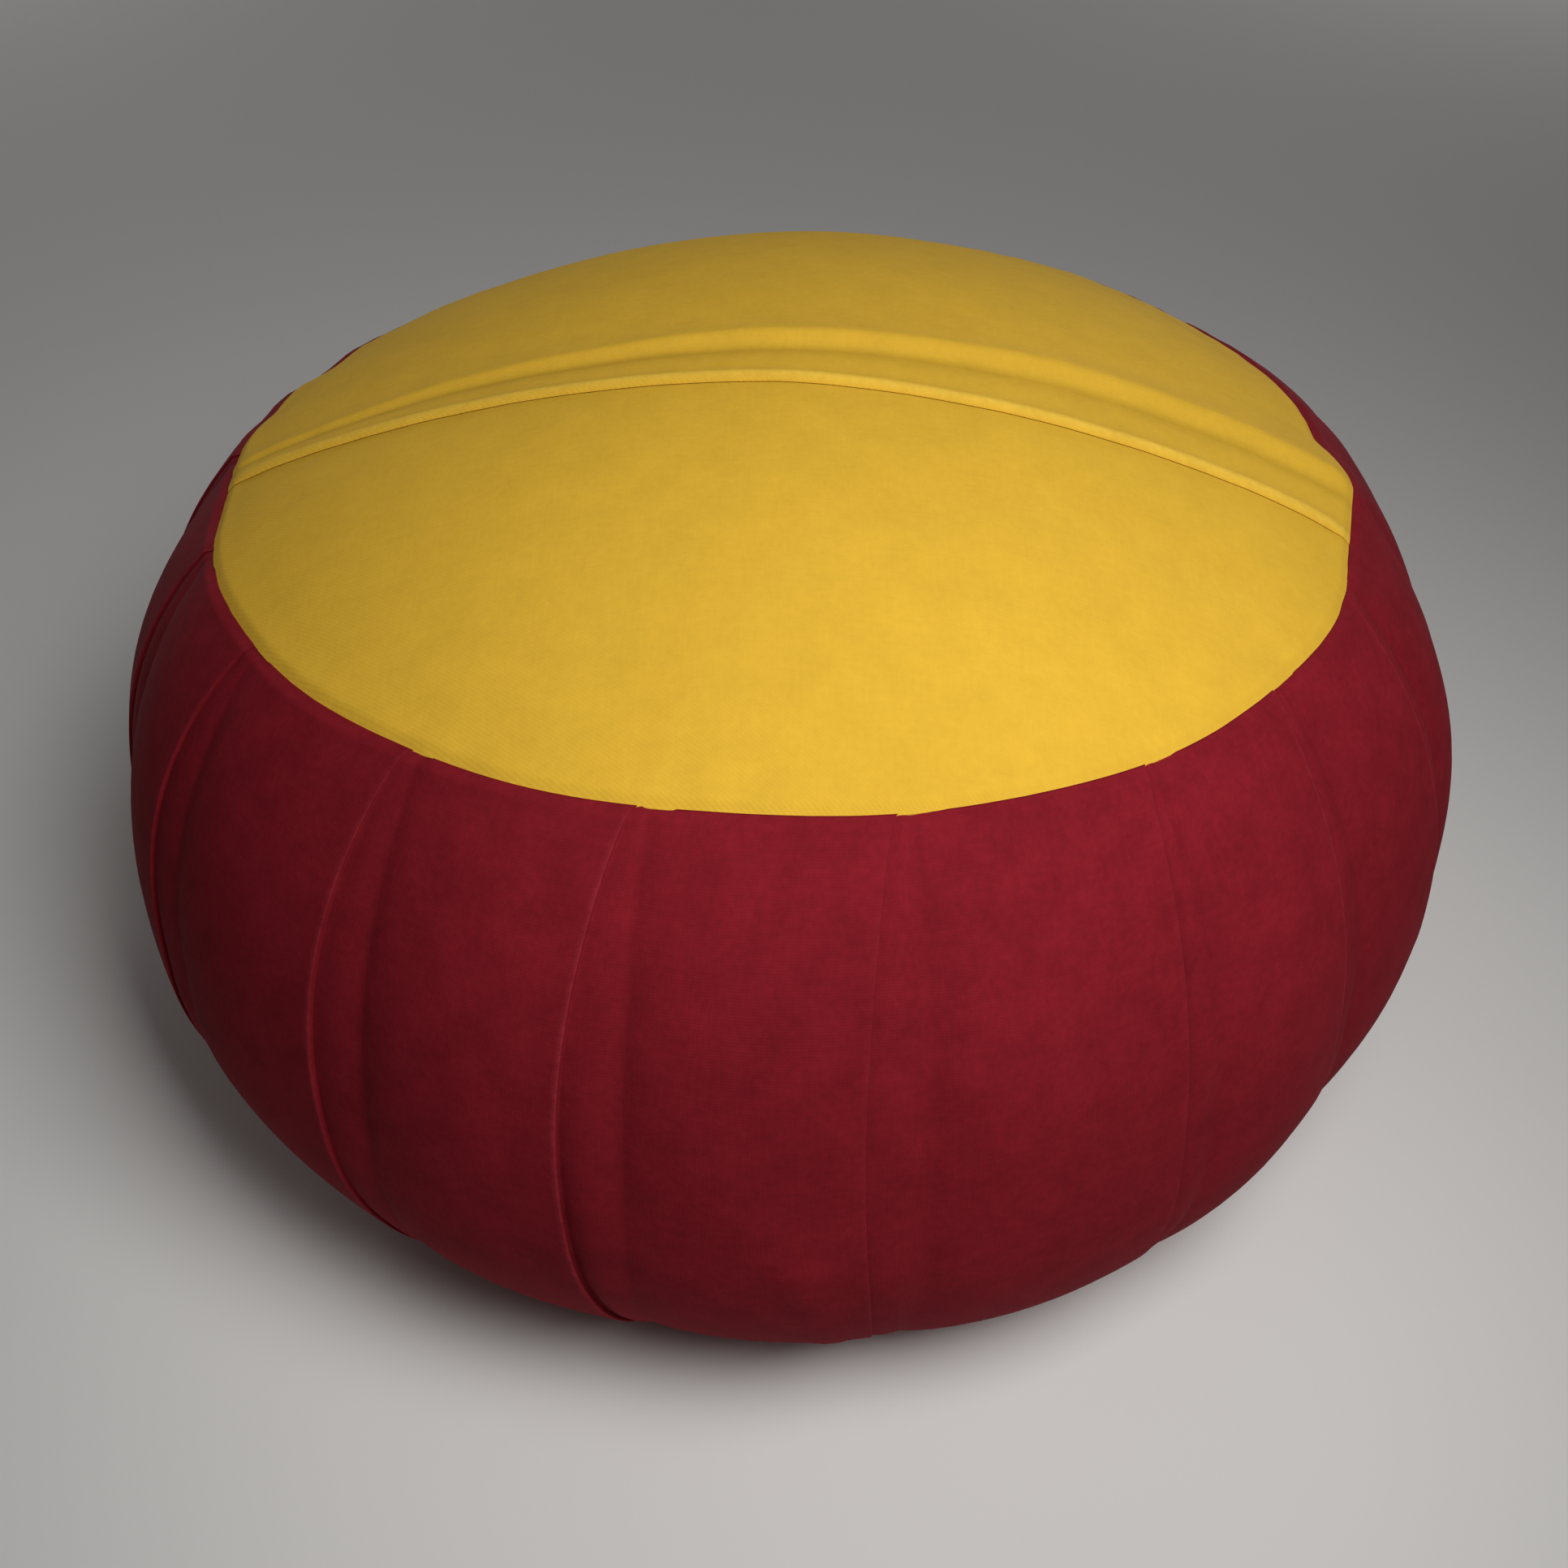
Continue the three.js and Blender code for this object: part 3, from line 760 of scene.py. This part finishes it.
def flat_lengths(rings):
    """Places on the flat cloth: the length round a wide ring, and the length up a line between pleats."""
    round_it = np.linalg.norm(np.diff(rings[MEASURED_RING], axis=0), axis=1)
    up = np.linalg.norm(np.diff(rings[:, MEASURED_LINE], axis=0), axis=1)
    u = np.concatenate([[0], np.cumsum(round_it)])
    v = np.concatenate([[0], np.cumsum(up)])
    return np.broadcast_arrays(u[None, :], v[:, None])


# Cotton


def wired(tree, kind, **settings):
    """A new node with its settings, where a name that begins with in_ sets or links a socket."""
    node = tree.nodes.new(kind)
    for key, value in settings.items():
        if not key.startswith("in_"):
            setattr(node, key, value)
    for key, value in settings.items():
        if key.startswith("in_"):
            name = key[3:]
            socket = node.inputs[int(name)] if name.isdigit() else node.inputs[name.replace("_", " ")]
            if isinstance(value, bpy.types.NodeSocket):
                tree.links.new(value, socket)
            else:
                socket.default_value = value
    return node


def maths(tree, operation, first, second):
    return wired(tree, "ShaderNodeMath", operation=operation, in_0=first, in_1=second).outputs[0]


def ranged(tree, value, low, high, to_low, to_high):
    node = wired(tree, "ShaderNodeMapRange", in_0=value, in_1=low, in_2=high, in_3=to_low, in_4=to_high)
    return node.outputs[0]


def mixed(tree, share, first, second, blend="MIX"):
    node = wired(
        tree, "ShaderNodeMix", data_type="RGBA", blend_type=blend, in_0=share, in_6=first, in_7=second
    )
    return node.outputs[2]


def noise(tree, where, scale, detail=2.0, roughness=0.5):
    node = wired(
        tree, "ShaderNodeTexNoise", in_Vector=where, in_Scale=scale, in_Detail=detail, in_Roughness=roughness
    )
    return node.outputs[0]


def stretched(tree, where, x, y, turn=0.0):
    node = wired(
        tree, "ShaderNodeMapping", in_Vector=where, in_Scale=(x, y, 1), in_Rotation=(0, 0, turn)
    )
    return node.outputs[0]


def threads(tree, where, pitch, direction, bend):
    """Parallel threads at a pitch, a little uneven, as a height from 0 to 1."""
    node = wired(
        tree, "ShaderNodeTexWave", wave_type="BANDS", bands_direction=direction, wave_profile="SIN",
        in_Vector=where, in_Scale=math.pi / (10 * pitch), in_Distortion=bend, in_Detail=1.0,
        in_Detail_Scale=2.0,
    )
    return node.outputs[1]


def cotton(name, colour, worn_and_highlit, pitch, twill, mottle):
    """Matt cotton whose weave lies along the piece's own cloth map: plain or twill."""
    if name in bpy.data.materials:
        return bpy.data.materials[name]
    material = bpy.data.materials.new(name)
    material.use_nodes = True
    tree = material.node_tree
    tree.nodes.clear()
    cloth = wired(tree, "ShaderNodeUVMap", uv_map="cloth").outputs[0]
    wear_and_highlight = wired(tree, "ShaderNodeAttribute", attribute_name="wear_and_highlight").outputs["Fac"]
    shade = wired(tree, "ShaderNodeAttribute", attribute_name="shade").outputs["Fac"]
    if twill:
        turned = stretched(tree, cloth, 1, 1, math.radians(TWILL_TURN))
        rib = threads(tree, turned, pitch, "X", 1.2)
        across = threads(tree, cloth, pitch * 0.62, "Y", 0.8)
        weave = maths(tree, "ADD", maths(tree, "MULTIPLY", rib, 0.7), maths(tree, "MULTIPLY", across, 0.3))
    else:
        warp = threads(tree, cloth, pitch, "X", 0.9)
        weft = threads(tree, cloth, pitch * 1.06, "Y", 0.9)
        weave = maths(tree, "MULTIPLY", maths(tree, "ADD", warp, weft), 0.5)
    thick, long = (1 / (pitch * size) for size in SLUB_SIZE)
    warp_slub = noise(tree, stretched(tree, cloth, thick, long), 1.0)
    weft_slub = noise(tree, stretched(tree, cloth, long, thick), 1.0)
    slub = maths(tree, "MULTIPLY", maths(tree, "ADD", warp_slub, weft_slub), 0.5)
    tones = [noise(tree, cloth, *tone[:3]) for tone in TONES]
    fine = tones[0]
    bright = maths(tree, "ADD", ranged(tree, slub, *NOISE_SPAN, -0.35 * mottle, 0.35 * mottle), 1.0)
    threads_tone = ranged(tree, weave, 0, 1, 1 - 0.22 * mottle, 1 + 0.16 * mottle)
    bright = maths(tree, "MULTIPLY", bright, threads_tone)
    for tone, (*_, strength) in zip(tones, TONES):
        spread = strength * mottle
        bright = maths(tree, "MULTIPLY", bright, ranged(tree, tone, *NOISE_SPAN, 1 - spread, 1 + spread))
    # Painted shade: darker where the shade attribute marks gaps, creases and the lap
    bright = maths(tree, "MULTIPLY", bright, ranged(tree, shade, 0, 1, 1.0, 0.72))
    grey = wired(tree, "ShaderNodeCombineColor", in_0=bright, in_1=bright, in_2=bright).outputs[0]
    # Wear and painted highlight: lightened towards the worn colour where the attribute marks it
    rubbed_and_highlit = maths(tree, "MULTIPLY", wear_and_highlight, ranged(tree, fine, 0.35, 0.65, 0.55, 1.0))
    base = mixed(tree, rubbed_and_highlit, (*colour, 1), (*worn_and_highlit, 1))
    shown = mixed(tree, 1.0, base, grey, "MULTIPLY")
    height = maths(tree, "ADD", maths(tree, "MULTIPLY", weave, 0.6), maths(tree, "MULTIPLY", slub, 0.9))
    height = maths(tree, "ADD", height, maths(tree, "MULTIPLY", fine, 0.35))
    bump = wired(tree, "ShaderNodeBump", in_Height=height, in_Strength=0.3, in_Distance=pitch * 0.25)
    rough = ranged(tree, slub, *NOISE_SPAN, 0.82, 0.95)
    shader = wired(
        tree, "ShaderNodeBsdfPrincipled", in_Base_Color=shown, in_Roughness=rough, in_Normal=bump.outputs[0],
        in_Specular_IOR_Level=0.05, in_Sheen_Weight=0.05, in_Sheen_Roughness=0.45, in_Sheen_Tint=(*worn_and_highlit, 1),
    )
    wired(tree, "ShaderNodeOutputMaterial", in_Surface=shader.outputs[0])
    return material


def dressed(piece, material, node):
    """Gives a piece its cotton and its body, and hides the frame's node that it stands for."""
    piece.data.materials.clear()
    piece.data.materials.append(material)
    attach(piece, "root")
    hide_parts(node)


def burgundy_cotton():
    look = looks()
    return cotton(
        "burgundy_plain_weave", look.burgundy, look.burgundy_worn_highlight, look.plain_pitch, twill=False,
        mottle=0.15,
    )


def yellow_cotton():
    look = looks()
    return cotton(
        "yellow_twill_weave", look.yellow, look.yellow_worn_highlight, look.twill_pitch, twill=True, mottle=0.05
    )


# The top panels


def row_ends(c, row, reach):
    """Where a row across a panel meets the seam round it, at the left and at the right."""
    ends = []
    for start in (-c["rim_radius"], c["rim_radius"]):
        inner, outer = 0.0, start
        for _ in range(40):
            middle = (inner + outer) / 2
            if math.hypot(middle, row(middle)) > reach:
                outer = middle
            else:
                inner = middle
        ends.append(inner)
    return ends


def rows_towards(side, first, count, reach):
    """Rows from a first one to a short last one at the front or the back of the round panel."""
    shortest = 3.0
    far = side * (reach - shortest**2 / (8 * reach))
    shares = [math.sin(math.pi * (i + 1) / (2 * count)) for i in range(count)]
    return [lambda x, share=share: first(x) + (far - first(x)) * share for share in shares]


def panel_reach(c):
    """How far a top panel reaches from the middle of its plan."""
    return c["rim_radius"] - LIP - SEAM_GAP


def panel_plan(c, rows, reach):
    """The plan of a panel: points along each of its rows, closest together next to the seam."""
    t = (1 - np.cos(np.pi * np.arange(PANEL_COLUMNS + 1) / PANEL_COLUMNS)) / 2
    plan = []
    for row in rows:
        left, right = row_ends(c, row, reach)
        x = left + (right - left) * t
        plan.append(np.stack([x, row(x)], -1))
    return np.array(plan)


def panel_points(c, plan, lift):
    """A panel's points over its plan, at a height over the plain crown, with the filling's push."""
    x, y = plan[..., 0], plan[..., 1]
    azimuth = np.degrees(np.arctan2(x, -y))
    share = np.hypot(x, y) / c["rim_radius"]
    stretch = rim_radius(c, azimuth) / c["rim_radius"]
    flat = np.stack([x * stretch, y * stretch, crown_height(c, azimuth, share)], -1)
    fade = smooth(0, 10, c["rim_radius"] - np.hypot(x, y))
    push = filled(c, flat) * fade[..., None]
    return flat + push + np.stack([0 * x, 0 * x, lift + 0 * x], -1)


def edge_turn(c, plan, seed):
    """How far a panel turns down into the seam round it, with the seam's puckers."""
    x, y = plan[..., 0], plan[..., 1]
    inside = c["rim_radius"] - np.hypot(x, y)
    azimuth = np.degrees(np.arctan2(x, -y))
    dip = c["seam_dip"] * (1 - smooth(0, c["seam_turn"], inside))
    return c["pucker"] * ripple(azimuth, seed) * np.exp(-inside / TOP_PUCKERS) - dip


def thick_sheet(name, plan, outer, inner):
    """A closed sheet over a plan: the grid is laid, extruded, and its two faces moved to their heights."""
    piece = cloth_strip(name, plan)
    lay_weave(piece, plan[..., 0], plan[..., 1])
    lay_points(piece, outer)
    alone(piece)
    bpy.ops.object.mode_set(mode="EDIT")
    bpy.ops.mesh.select_all(action="SELECT")
    bpy.ops.mesh.extrude_region_move(TRANSFORM_OT_translate={"value": (0, 0, -CLOTH / 1000)})
    bpy.ops.object.mode_set(mode="OBJECT")
    points = points_of(piece.data)
    tree = search_tree(outer.reshape(-1, 3))
    for i, point in enumerate(points):
        upper, lower = tree.find(point), tree.find(point + [0, 0, CLOTH])
        if upper[2] < lower[2]:
            points[i] = outer.reshape(-1, 3)[upper[1]]
        else:
            points[i] = inner.reshape(-1, 3)[lower[1]]
    lay_points(piece, points)
    return piece


def sew_panel(piece, node):
    """Closes a top panel and gives it its cotton."""
    sew_closed(piece)
    dressed(piece, yellow_cotton(), node)


class CUSHION_OT_filled_body(bpy.types.Operator):
    """Sew the pleated side band and fill the cushion"""

    bl_idname = "cushion.filled_body"
    bl_label = "Filled body"

    def execute(self, context):
        c = sizes()
        rings, wear_and_highlight, shade = body_points(c)
        piece = cloth_strip("pleated_body_cotton", rings)
        lay_points(piece, rings)
        lay_weave(piece, *flat_lengths(rings))
        mark(piece, "wear_and_highlight", wear_and_highlight)
        mark(piece, "shade", shade)
        sew_closed(piece)
        dressed(piece, burgundy_cotton(), "pleated_body")
        return {"FINISHED"}


class CUSHION_OT_base_panel(bpy.types.Operator):
    """Cut and sew the base panel"""

    bl_idname = "cushion.base_panel"
    bl_label = "Base panel"

    def execute(self, context):
        c = sizes()
        edge = c["base_seam_radius"] - LIP - SEAM_GAP
        azimuth = np.linspace(0, 360, BASE_COLUMNS + 1)[None, :]
        radii = np.array([*BASE_RADII, edge])[:, None]
        under = polar(azimuth, radii + 0 * azimuth, underside_height(c, azimuth, radii))
        rim = ripple(azimuth, 4.0) * c["pucker"] * smooth(124, 139, radii)
        under[..., 2] += np.maximum(rim, 0)
        over = polar(azimuth, radii + 0 * azimuth, under[..., 2] + CLOTH)[::-1]
        rings = np.concatenate([under, over])
        piece = cloth_strip("base_panel_cotton", rings)
        lay_points(piece, rings)
        lay_weave(piece, rings[..., 0], rings[..., 1])
        for name in ("wear_and_highlight", "shade"):
            mark(piece, name, np.zeros(rings.shape[:2]))
        sew_closed(piece)
        dressed(piece, burgundy_cotton(), "base_panel")
        return {"FINISHED"}


class CUSHION_OT_top_front_panel(bpy.types.Operator):
    """Cut and sew the front panel of the top"""

    bl_idname = "cushion.top_front_panel"
    bl_label = "Front panel"

    def execute(self, context):
        c = sizes()
        reach = panel_reach(c)
        lapped = [lambda x, behind=behind: lap_line(c, x, behind) for behind in UNDERLAP_ROWS]
        rows = [*lapped, *rows_towards(-1, lapped[-1], FRONT_ROWS, reach)][::-1]
        plan = panel_plan(c, rows, reach)
        behind = plan[..., 1] - lap_edge(c, plan[..., 0])
        pressed = LAP_PRESS * (smooth(0, 8, behind) - 1)
        outer = panel_points(c, plan, edge_turn(c, plan, 1.0) + pressed)
        inner = panel_points(c, plan, -CLOTH)
        piece = thick_sheet("top_front_panel_cotton", plan, outer, inner)
        points = points_of(piece.data)
        mark(piece, "wear_and_highlight", 0 * points[:, 0])
        before = lap_edge(c, points[:, 0]) - points[:, 1]
        shade, width = CAST_SHADE
        mark(piece, "shade", shade * (1 - smooth(0, width, before)))
        sew_panel(piece, "top_front_panel")
        return {"FINISHED"}


class CUSHION_OT_top_back_panel(bpy.types.Operator):
    """Cut the back panel of the top, hem its front edge and sew it over the front panel"""

    bl_idname = "cushion.top_back_panel"
    bl_label = "Back panel and lap"

    def execute(self, context):
        c = sizes()
        reach = panel_reach(c)
        lap = [lambda x, behind=behind: lap_line(c, x, behind) for behind, _ in LAP_OUTER]
        rows = [*lap, *rows_towards(1, lap[-1], BACK_ROWS, reach)]
        plan = panel_plan(c, rows, reach)
        behind, rise = np.array(LAP_OUTER).T
        height = np.zeros(plan.shape[:2])
        across = plan[: len(lap), :, 0] / c["rim_radius"]
        faint = (behind[:, None] > LAP_STITCH_AT) * RIDGE_LOSS * (1 - smooth(-0.95, 0.0, across))
        height[: len(lap)] = rise[:, None] * (1 - faint)
        inner_at, inner_height = np.array(LAP_INNER).T
        under = np.full(plan.shape[:2], -CLOTH)
        under[: len(lap)] = np.interp(behind, inner_at, inner_height)[:, None]
        inside = c["rim_radius"] - np.hypot(plan[..., 0], plan[..., 1])
        ends = LAP_END + (1 - LAP_END) * smooth(0, 7, inside)
        over = height * ends + edge_turn(c, plan, 1.0)
        outer = panel_points(c, plan, over)
        inner = panel_points(c, plan, np.minimum(under, over - THINNEST))
        piece = thick_sheet("top_back_panel_cotton", plan, outer, inner)
        points = points_of(piece.data)
        # Wear and painted highlight along the lap's bead, and painted shade along its sewn line
        bead = points[:, 1] - lap_edge(c, points[:, 0]) - BEAD_AT
        sewn = points[:, 1] - lap_line(c, points[:, 0], LAP_STITCH_AT)
        for name, away, (strength, width) in (("wear_and_highlight", bead, BEAD_WEAR_AND_HIGHLIGHT), ("shade", sewn, STITCH_SHADE)):
            mark(piece, name, strength * np.exp(-((away / width) ** 2)))
        sew_panel(piece, "top_back_panel")
        return {"FINISHED"}


class CUSHION_OT_stage(bpy.types.Operator):
    """Set out the floor, the lights and the camera"""

    bl_idname = "cushion.stage"
    bl_label = "Stage"

    def execute(self, context):
        scene = context.scene
        plan = scene.stage_plan
        bpy.ops.object.select_all(action="DESELECT")
        bpy.ops.mesh.primitive_plane_add(size=FLOOR_SIZE, location=(0, 0, 0))
        floor = context.active_object
        floor.name = "floor"
        material = bpy.data.materials.new("pale_floor")
        material.use_nodes = True
        shader = material.node_tree.nodes["Principled BSDF"]
        shader.inputs["Base Color"].default_value = (*looks().floor, 1)
        shader.inputs["Roughness"].default_value = 0.9
        floor.data.materials.append(material)
        middle = Vector(MIDDLE / 1000)
        lamps = [("key_light", plan.key, KEY_LAMP)]
        lamps += [(f"back_light_{i + 1}", plan.fill, lamp) for i, lamp in enumerate(BACK_LAMPS)]
        for name, power, (azimuth, height, spread, distance, size, aim) in lamps:
            data = bpy.data.lights.new(name, "AREA")
            data.size = size
            data.energy = power
            data.spread = math.radians(spread)
            lamp = bpy.data.objects.new(name, data)
            flat, up = math.cos(math.radians(height)), math.sin(math.radians(height))
            turn = math.radians(azimuth)
            way = Vector((flat * math.sin(turn), -flat * math.cos(turn), up))
            lamp.location = middle + Vector(aim) + way * distance
            lamp.rotation_euler = way.to_track_quat("Z", "Y").to_euler()
            lamp.visible_camera = False
            scene.collection.objects.link(lamp)
        world = bpy.data.worlds.new("pale_room")
        world.use_nodes = True
        sky = world.node_tree.nodes["Background"]
        sky.inputs["Color"].default_value = SKY_COLOUR
        sky.inputs["Strength"].default_value = plan.sky
        scene.world = world
        scene.view_settings.view_transform = "Standard"
        back = Vector((0, -math.cos(plan.elevation), math.sin(plan.elevation)))
        data = bpy.data.cameras.new("photo_view")
        data.lens = plan.lens
        camera = bpy.data.objects.new("photo_view", data)
        target = middle + Vector((0, 0, plan.target_height))
        camera.location = target + back * plan.distance
        turn = back.to_track_quat("Z", "Y").to_matrix() @ Matrix.Rotation(plan.roll, 3, "Z")
        camera.rotation_euler = turn.to_euler()
        scene.collection.objects.link(camera)
        bpy.context.scene.camera = camera
        return {"FINISHED"}


class CUSHION_PT_panel(bpy.types.Panel):
    """Lists the cushion's steps and sizes"""

    bl_idname = "CUSHION_PT_panel"
    bl_label = "Meditation cushion"
    bl_space_type = "VIEW_3D"
    bl_region_type = "UI"
    bl_category = "Cushion"

    def draw(self, context):
        layout = self.layout
        for operator in STEPS:
            layout.operator(operator.bl_idname)
        for name in ("cushion_sizes", "cotton_looks", "stage_plan"):
            group = getattr(context.scene, name)
            box = layout.box()
            for key in type(group).__annotations__:
                box.prop(group, key)


STEPS = (
    CUSHION_OT_filled_body,
    CUSHION_OT_base_panel,
    CUSHION_OT_top_front_panel,
    CUSHION_OT_top_back_panel,
    CUSHION_OT_stage,
)
CLASSES = (CushionSizes, CottonLooks, StagePlan, *STEPS, CUSHION_PT_panel)


def register():
    for item in CLASSES:
        bpy.utils.register_class(item)
    bpy.types.Scene.cushion_sizes = PointerProperty(type=CushionSizes)
    bpy.types.Scene.cotton_looks = PointerProperty(type=CottonLooks)
    bpy.types.Scene.stage_plan = PointerProperty(type=StagePlan)


def unregister():
    del bpy.types.Scene.stage_plan
    del bpy.types.Scene.cotton_looks
    del bpy.types.Scene.cushion_sizes
    for item in reversed(CLASSES):
        bpy.utils.unregister_class(item)


def main():
    register()
    bpy.ops.cushion.filled_body()
    bpy.ops.cushion.base_panel()
    bpy.ops.cushion.top_front_panel()
    bpy.ops.cushion.top_back_panel()
    bpy.ops.cushion.stage()


if __name__ == "__main__":
    main()
